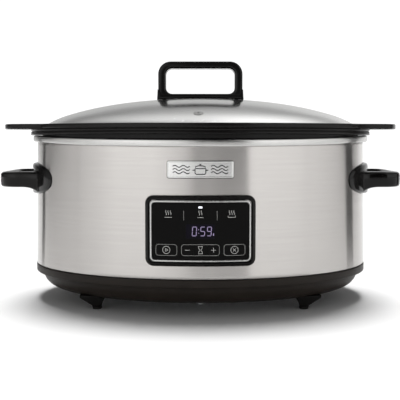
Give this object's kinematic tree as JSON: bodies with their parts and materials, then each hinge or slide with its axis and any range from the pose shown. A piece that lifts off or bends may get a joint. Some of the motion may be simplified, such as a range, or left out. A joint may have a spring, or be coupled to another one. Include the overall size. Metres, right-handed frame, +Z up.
{
  "type": "slow cooker",
  "caption": "Oval slow cooker: brushed steel heated base with digital key panel, side handles and feet, lift-out black bowl with ears, domed glass lid.",
  "frame": {"origin": "on the floor at the middle of the footprint, under the feet", "axes": "+Z up, front with the control panel towards -Y, side handles along X"},
  "size_m": [0.439, 0.2898, 0.262],
  "materials": {
    "bowl_coating": "satin black non-stick coating on cast aluminium",
    "black_screw": "black-coated steel",
    "handle_plastic": "semi-gloss black moulded nylon",
    "base_plastic": "fine-textured brown-black moulding",
    "brushed_steel": "horizontal fine brushed stainless sheet",
    "satin_steel": "satin polished rolled rim",
    "bright_trim": "bright satin plated trim",
    "plain_steel": "plain zinc-plated steel",
    "aluminium": "plain spun aluminium",
    "gloss_fascia": "high-gloss black fascia film",
    "rubber": "matt black silicone rubber",
    "circuit_board": "green solder mask",
    "component": "black moulded component body",
    "winding": "varnished copper winding and tape",
    "heater_wrap": "woven glass-fibre heater band",
    "lamp": "clear diffusing lens, white light",
    "glass": "clear tempered glass"
  },
  "bodies": {
    "base_unit": {"badge_plate": "bright_trim", "base_tray": "base_plastic", "bottom_cover": "plain_steel", "cord_gland": "handle_plastic", "cover_screw_back": "plain_steel", "cover_screw_front": "plain_steel", "cover_screw_left": "plain_steel", "cover_screw_right": "plain_steel", "display_board": "circuit_board", "display_module": "component", "foot_pad_back_left": "rubber", "foot_pad_back_right": "rubber", "foot_pad_front_left": "rubber", "foot_pad_front_right": "rubber", "handle_screw_left_back": "plain_steel", "handle_screw_left_front": "plain_steel", "handle_screw_right_back": "plain_steel", "handle_screw_right_front": "plain_steel", "heat_shield": "plain_steel", "heater_band": "heater_wrap", "heating_liner": "aluminium", "indicator_left": "lamp", "indicator_middle": "lamp", "indicator_right": "lamp", "inner_lead": "rubber", "key_switch_cancel": "component", "key_switch_minus": "component", "key_switch_plus": "component", "key_switch_start": "component", "key_switch_timer": "component", "outer_casing": "brushed_steel", "panel_carrier": "base_plastic", "panel_fascia": "gloss_fascia", "panel_frame": "handle_plastic", "power_board": "circuit_board", "power_relay": "component", "rim_ring": "satin_steel", "side_handle_left": "handle_plastic", "side_handle_right": "handle_plastic", "support_bracket": "plain_steel", "temperature_sensor": "plain_steel", "terminal_block": "base_plastic", "thermal_fuse": "plain_steel", "tie_bolt": "plain_steel", "tie_nut": "plain_steel", "transformer": "winding", "trim_ring": "bright_trim"},
    "bowl": {"cooking_bowl": "bowl_coating"},
    "lid": {"lid_gasket_left": "rubber", "lid_gasket_right": "rubber", "lid_glass": "glass", "lid_handle": "handle_plastic", "lid_screw_left": "black_screw", "lid_screw_right": "black_screw", "vent_grommet": "rubber"},
    "start_key": {"key_start": "gloss_fascia"},
    "minus_key": {"key_minus": "gloss_fascia"},
    "timer_key": {"key_timer": "gloss_fascia"},
    "plus_key": {"key_plus": "gloss_fascia"},
    "cancel_key": {"key_cancel": "gloss_fascia"}
  },
  "joints": [
    {"name": "bowl_lift", "type": "slide", "parent": "base_unit", "child": "bowl", "axis": [0, 0, 1], "range_m": [0, 0.2]},
    {"name": "lid_lift", "type": "slide", "parent": "bowl", "child": "lid", "axis": [0, 0, 1], "range_m": [0, 0.15]},
    {"name": "start_press", "type": "slide", "parent": "base_unit", "child": "start_key", "axis": [0, 1, 0], "range_m": [0, 0.0006], "stiffness_N_per_m": 1500},
    {"name": "minus_press", "type": "slide", "parent": "base_unit", "child": "minus_key", "axis": [0, 1, 0], "range_m": [0, 0.0006], "stiffness_N_per_m": 1500},
    {"name": "timer_press", "type": "slide", "parent": "base_unit", "child": "timer_key", "axis": [0, 1, 0], "range_m": [0, 0.0006], "stiffness_N_per_m": 1500},
    {"name": "plus_press", "type": "slide", "parent": "base_unit", "child": "plus_key", "axis": [0, 1, 0], "range_m": [0, 0.0006], "stiffness_N_per_m": 1500},
    {"name": "cancel_press", "type": "slide", "parent": "base_unit", "child": "cancel_key", "axis": [0, 1, 0], "range_m": [0, 0.0006], "stiffness_N_per_m": 1500}
  ]
}
